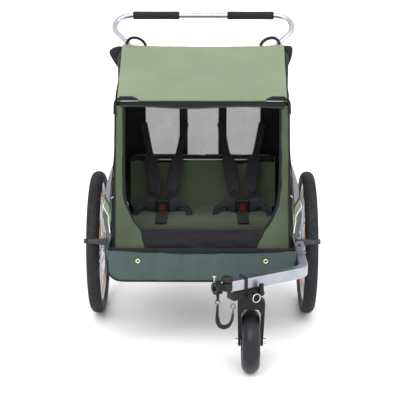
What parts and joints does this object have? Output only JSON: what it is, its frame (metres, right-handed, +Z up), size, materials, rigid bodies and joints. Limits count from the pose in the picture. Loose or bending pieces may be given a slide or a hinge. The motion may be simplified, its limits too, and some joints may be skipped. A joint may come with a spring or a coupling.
{
  "type": "child bicycle trailer",
  "caption": "Folding two-seat child bicycle trailer in stroller form: fabric cabin, push handlebar, spoked wheels, hitch arm with a swivelling front wheel.",
  "frame": {"origin": "on the ground under the middle of the trailer's box, the hanging strap left out", "axes": "+Z up, front towards -Y, +X towards the trailer's own left"},
  "size_m": [0.788, 1.0084, 1.0202],
  "materials": {
    "painted_frame": "satin black paint",
    "frame_aluminium": "anodised",
    "arm_aluminium": "brushed and anodised",
    "steel": "zinc plated",
    "guard": "dark grey",
    "foam": "black foam",
    "canopy_green": "sage green woven polyester",
    "side_green": "olive green woven polyester",
    "teal_skirt": "dark teal coated fabric",
    "seat_green": "dark green fabric",
    "black_fabric": "black fabric",
    "webbing": "black nylon webbing",
    "mesh": "fine grey mesh",
    "tyre": "ribbed black rubber",
    "rim": "satin",
    "black_plastic": "moulded black plastic",
    "red_button": "dark red"
  },
  "bodies": {
    "base": {"side_rails": "frame_aluminium", "axle_brackets": "painted_frame", "cross_tubes": "frame_aluminium", "axle_tube": "frame_aluminium", "hinge_brackets": "painted_frame", "hinge_pins": "steel", "wheel_guards": "guard", "axles": "steel", "skirt_front": "teal_skirt", "skirt_sides": "teal_skirt", "floor": "teal_skirt", "rear_wall": "seat_green", "mesh_windows": "mesh", "canopy": "canopy_green", "side_panels": "side_green", "side_flares": "side_green", "front_surround": "side_green", "front_lower_panel": "black_fabric", "seat_base": "seat_green", "seat_back": "seat_green", "shoulder_pads": "black_fabric", "harness_webbing": "webbing", "crotch_pads": "black_fabric", "buckles": "black_plastic", "hitch_bracket": "arm_aluminium", "arm_pivot_pin": "steel"},
    "rear_hoop": {"rear_hoop": "frame_aluminium", "handle_knuckles": "guard", "webbing_loops": "webbing"},
    "front_hoop": {"front_hoop": "frame_aluminium", "corner_sleeves": "black_fabric"},
    "handle": {"handlebar": "frame_aluminium", "grips": "foam"},
    "arm": {"hitch_arm": "arm_aluminium", "elastomer": "foam", "hitch_head": "black_plastic", "arm_end_bracket": "black_plastic", "wheel_mount": "black_plastic", "wheel_mount_strap": "webbing", "pull_ring": "steel", "safety_strap": "webbing", "strap_fittings": "steel"},
    "hitch_pin": {"hitch_pin": "steel"},
    "mount_lever": {"mount_lever": "black_plastic"},
    "fork": {"caster_fork": "black_plastic", "front_axle": "steel"},
    "front_wheel": {"front_tyre": "tyre", "front_rim": "black_plastic"},
    "wheel_left": {"tyre_left": "tyre", "rim_left": "rim", "spoked_hub_left": "rim"},
    "wheel_right": {"tyre_right": "tyre", "rim_right": "rim", "spoked_hub_right": "rim"},
    "brake": {"brake_shaft": "guard", "brake_pedal": "guard"},
    "axle_button_left": {"axle_button_left": "black_plastic"},
    "axle_button_right": {"axle_button_right": "black_plastic"},
    "buckle_button_left": {"buckle_button_left": "red_button"},
    "buckle_button_right": {"buckle_button_right": "red_button"}
  },
  "joints": [
    {"name": "fold", "type": "hinge", "parent": "base", "child": "rear_hoop", "pos_m": [0, 0.34851, 0.325], "axis": [1, 0, 0], "range_deg": [0, 76], "deforming": ["canopy", "rear_wall", "mesh_windows", "side_panels", "side_flares", "front_surround", "seat_back", "shoulder_pads", "harness_webbing"]},
    {"name": "front_fold", "type": "hinge", "parent": "base", "child": "front_hoop", "pos_m": [0, -0.23649, 0.325], "axis": [1, 0, 0], "range_deg": [-65, 0]},
    {"name": "handle_tilt", "type": "hinge", "parent": "rear_hoop", "child": "handle", "pos_m": [0, 0.34051, 0.905], "axis": [1, 0, 0], "range_deg": [-40, 70]},
    {"name": "arm_swing", "type": "hinge", "parent": "base", "child": "arm", "pos_m": [0.318, -0.18949, 0.306], "axis": [0, 0, 1], "range_deg": [0, 65]},
    {"name": "hitch_pin_lift", "type": "slide", "parent": "arm", "child": "hitch_pin", "axis": [0, 0, 1], "range_m": [0, 0.02]},
    {"name": "mount_lever_turn", "type": "hinge", "parent": "arm", "child": "mount_lever", "pos_m": [0.166, -0.41345, 0.2765], "axis": [-0.5069, 0.862, 0], "range_deg": [0, 70]},
    {"name": "caster_swivel", "type": "hinge", "parent": "arm", "child": "fork", "pos_m": [0.153, -0.42749, 0.26], "axis": [0, 0, 1], "continuous": true},
    {"name": "front_wheel_spin", "type": "hinge", "parent": "fork", "child": "front_wheel", "pos_m": [0.153, -0.39149, 0.1], "axis": [1, 0, 0], "continuous": true},
    {"name": "wheel_left_spin", "type": "hinge", "parent": "base", "child": "wheel_left", "pos_m": [0.366, 0.15851, 0.25], "axis": [1, 0, 0], "continuous": true},
    {"name": "wheel_right_spin", "type": "hinge", "parent": "base", "child": "wheel_right", "pos_m": [-0.366, 0.15851, 0.25], "axis": [1, 0, 0], "continuous": true},
    {"name": "brake_turn", "type": "hinge", "parent": "base", "child": "brake", "pos_m": [0, 0.11451, 0.204], "axis": [1, 0, 0], "range_deg": [-4.8, 0]},
    {"name": "axle_button_left_press", "type": "slide", "parent": "base", "child": "axle_button_left", "axis": [-1, 0, 0], "range_m": [0, 0.003], "stiffness_N_per_m": 800, "springref_m": -0.001},
    {"name": "axle_button_right_press", "type": "slide", "parent": "base", "child": "axle_button_right", "axis": [1, 0, 0], "range_m": [0, 0.003], "stiffness_N_per_m": 800, "springref_m": -0.001},
    {"name": "buckle_button_left_press", "type": "slide", "parent": "base", "child": "buckle_button_left", "axis": [0, 1, 0], "range_m": [0, 0.0025], "stiffness_N_per_m": 800, "springref_m": -0.001},
    {"name": "buckle_button_right_press", "type": "slide", "parent": "base", "child": "buckle_button_right", "axis": [0, 1, 0], "range_m": [0, 0.0025], "stiffness_N_per_m": 800, "springref_m": -0.001}
  ],
  "couplings": [
    {"joint": "front_fold", "follows": "fold", "ratio": -0.85}
  ]
}
